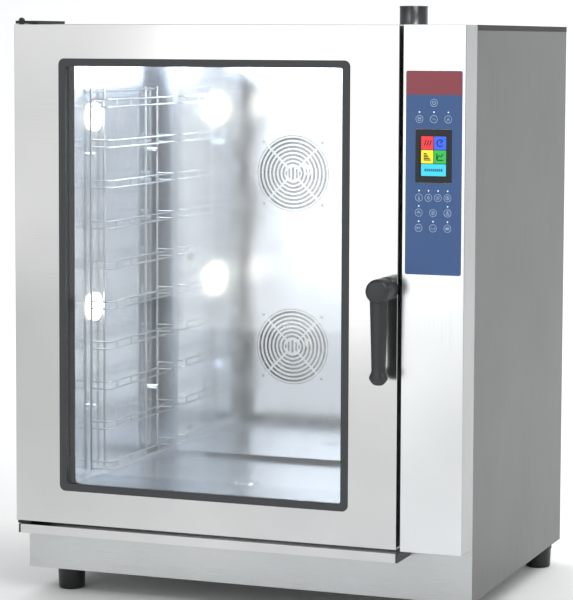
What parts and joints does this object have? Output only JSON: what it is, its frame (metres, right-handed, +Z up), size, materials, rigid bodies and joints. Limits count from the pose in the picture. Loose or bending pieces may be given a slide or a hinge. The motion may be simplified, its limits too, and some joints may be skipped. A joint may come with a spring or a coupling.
{
  "type": "combi steamer oven",
  "caption": "Upright combi steamer oven with a glazed side-hinged door, turning lever handle, control column, wire tray racks, chamber fans and levelling feet.",
  "frame": {"origin": "on the floor under the centre of the overall width and depth", "axes": "+X right seen from the front, +Y towards the back, +Z up"},
  "size_m": [0.936, 0.828, 1.192],
  "materials": {
    "brushed_sheet": "satin",
    "chamber_sheet": "satin",
    "polished_sheet": "polished",
    "rack_wire": "polished",
    "zinc_screw": "satin",
    "dark_trim": "matte",
    "vent_steel": "satin",
    "float_glass": "gloss",
    "seal_rubber": "matte",
    "handle_nylon": "satin",
    "foot_nylon": "satin",
    "tray_cap_plastic": "satin",
    "overlay_foil": "satin",
    "bezel_plastic": "gloss",
    "screen_panel": "gloss",
    "key_foil": "satin",
    "circuit_board": "satin",
    "mineral_wool": "matte",
    "motor_paint": "matte",
    "fan_steel": "satin",
    "heater_sheath": "matte",
    "lamp_glass": "gloss",
    "bush_bronze": "satin",
    "valve_plastic": "satin",
    "gland_plastic": "satin"
  },
  "bodies": {
    "cabinet": {"left_side_panel": "brushed_sheet", "right_side_panel": "brushed_sheet", "rear_panel": "brushed_sheet", "roof_panel": "brushed_sheet", "front_frame": "brushed_sheet", "base_pan": "brushed_sheet", "control_column": "brushed_sheet", "drip_tray": "brushed_sheet", "cavity_liner": "chamber_sheet", "drain_pipe": "chamber_sheet", "fan_baffle": "polished_sheet", "baffle_fixings": "polished_sheet", "tray_rack_left": "rack_wire", "tray_rack_right": "rack_wire", "panel_screws": "zinc_screw", "latch_keeper": "zinc_screw", "roof_trims": "dark_trim", "hinge_brackets": "dark_trim", "vent_pipe": "vent_steel", "door_gasket": "seal_rubber", "drip_tray_caps": "tray_cap_plastic", "control_overlay": "overlay_foil", "display_bezel": "bezel_plastic", "display_screen": "screen_panel", "control_boards": "circuit_board", "insulation_boards": "mineral_wool", "fan_motors": "motor_paint", "heater_rings": "heater_sheath", "lamp_lenses": "lamp_glass", "water_valves": "valve_plastic", "cable_gland": "gland_plastic"},
    "door": {"door_skin": "brushed_sheet", "door_inner_panel": "brushed_sheet", "outer_glass": "float_glass", "inner_glass": "float_glass", "window_seal": "seal_rubber", "door_bushes": "bush_bronze"},
    "handle": {"handle_lever": "handle_nylon", "handle_cap": "handle_nylon", "latch_spindle": "zinc_screw"},
    "fan_upper": {"fan_wheel_upper": "fan_steel"},
    "fan_lower": {"fan_wheel_lower": "fan_steel"},
    "key_power": {"key_power": "key_foil"},
    "key_upper_left": {"key_upper_left": "key_foil"},
    "key_upper_middle": {"key_upper_middle": "key_foil"},
    "key_upper_right": {"key_upper_right": "key_foil"},
    "key_row_one_1": {"key_row_one_1": "key_foil"},
    "key_row_one_2": {"key_row_one_2": "key_foil"},
    "key_row_one_3": {"key_row_one_3": "key_foil"},
    "key_row_one_4": {"key_row_one_4": "key_foil"},
    "key_row_two_left": {"key_row_two_left": "key_foil"},
    "key_row_two_middle": {"key_row_two_middle": "key_foil"},
    "key_row_two_right": {"key_row_two_right": "key_foil"},
    "key_row_three_left": {"key_row_three_left": "key_foil"},
    "key_row_three_middle": {"key_row_three_middle": "key_foil"},
    "key_row_three_right": {"key_row_three_right": "key_foil"},
    "foot_front_left": {"foot_front_left": "foot_nylon"},
    "foot_front_right": {"foot_front_right": "foot_nylon"},
    "foot_rear_left": {"foot_rear_left": "foot_nylon"},
    "foot_rear_right": {"foot_rear_right": "foot_nylon"}
  },
  "joints": [
    {"name": "door_hinge", "type": "hinge", "parent": "cabinet", "child": "door", "pos_m": [-0.451, -0.338, 0.654], "axis": [0, 0, -1], "range_deg": [0, 180]},
    {"name": "handle_turn", "type": "hinge", "parent": "door", "child": "handle", "pos_m": [0.3175, -0.352, 0.655], "axis": [0, 1, 0], "range_deg": [-90, 90]},
    {"name": "fan_upper_spin", "type": "hinge", "parent": "cabinet", "child": "fan_upper", "pos_m": [-0.061, 0.2, 0.8385], "axis": [0, 1, 0], "continuous": true},
    {"name": "fan_lower_spin", "type": "hinge", "parent": "cabinet", "child": "fan_lower", "pos_m": [-0.061, 0.2, 0.4695], "axis": [0, 1, 0], "continuous": true},
    {"name": "key_power_press", "type": "slide", "parent": "cabinet", "child": "key_power", "axis": [0, 1, 0], "range_m": [0, 0.0005], "stiffness_N_per_m": 2500},
    {"name": "key_upper_left_press", "type": "slide", "parent": "cabinet", "child": "key_upper_left", "axis": [0, 1, 0], "range_m": [0, 0.0005], "stiffness_N_per_m": 2500},
    {"name": "key_upper_middle_press", "type": "slide", "parent": "cabinet", "child": "key_upper_middle", "axis": [0, 1, 0], "range_m": [0, 0.0005], "stiffness_N_per_m": 2500},
    {"name": "key_upper_right_press", "type": "slide", "parent": "cabinet", "child": "key_upper_right", "axis": [0, 1, 0], "range_m": [0, 0.0005], "stiffness_N_per_m": 2500},
    {"name": "key_row_one_1_press", "type": "slide", "parent": "cabinet", "child": "key_row_one_1", "axis": [0, 1, 0], "range_m": [0, 0.0005], "stiffness_N_per_m": 2500},
    {"name": "key_row_one_2_press", "type": "slide", "parent": "cabinet", "child": "key_row_one_2", "axis": [0, 1, 0], "range_m": [0, 0.0005], "stiffness_N_per_m": 2500},
    {"name": "key_row_one_3_press", "type": "slide", "parent": "cabinet", "child": "key_row_one_3", "axis": [0, 1, 0], "range_m": [0, 0.0005], "stiffness_N_per_m": 2500},
    {"name": "key_row_one_4_press", "type": "slide", "parent": "cabinet", "child": "key_row_one_4", "axis": [0, 1, 0], "range_m": [0, 0.0005], "stiffness_N_per_m": 2500},
    {"name": "key_row_two_left_press", "type": "slide", "parent": "cabinet", "child": "key_row_two_left", "axis": [0, 1, 0], "range_m": [0, 0.0005], "stiffness_N_per_m": 2500},
    {"name": "key_row_two_middle_press", "type": "slide", "parent": "cabinet", "child": "key_row_two_middle", "axis": [0, 1, 0], "range_m": [0, 0.0005], "stiffness_N_per_m": 2500},
    {"name": "key_row_two_right_press", "type": "slide", "parent": "cabinet", "child": "key_row_two_right", "axis": [0, 1, 0], "range_m": [0, 0.0005], "stiffness_N_per_m": 2500},
    {"name": "key_row_three_left_press", "type": "slide", "parent": "cabinet", "child": "key_row_three_left", "axis": [0, 1, 0], "range_m": [0, 0.0005], "stiffness_N_per_m": 2500},
    {"name": "key_row_three_middle_press", "type": "slide", "parent": "cabinet", "child": "key_row_three_middle", "axis": [0, 1, 0], "range_m": [0, 0.0005], "stiffness_N_per_m": 2500},
    {"name": "key_row_three_right_press", "type": "slide", "parent": "cabinet", "child": "key_row_three_right", "axis": [0, 1, 0], "range_m": [0, 0.0005], "stiffness_N_per_m": 2500},
    {"name": "foot_front_left_level", "type": "slide", "parent": "cabinet", "child": "foot_front_left", "axis": [0, 0, -1], "range_m": [-0.01, 0.02]},
    {"name": "foot_front_right_level", "type": "slide", "parent": "cabinet", "child": "foot_front_right", "axis": [0, 0, -1], "range_m": [-0.01, 0.02]},
    {"name": "foot_rear_left_level", "type": "slide", "parent": "cabinet", "child": "foot_rear_left", "axis": [0, 0, -1], "range_m": [-0.01, 0.02]},
    {"name": "foot_rear_right_level", "type": "slide", "parent": "cabinet", "child": "foot_rear_right", "axis": [0, 0, -1], "range_m": [-0.01, 0.02]}
  ]
}
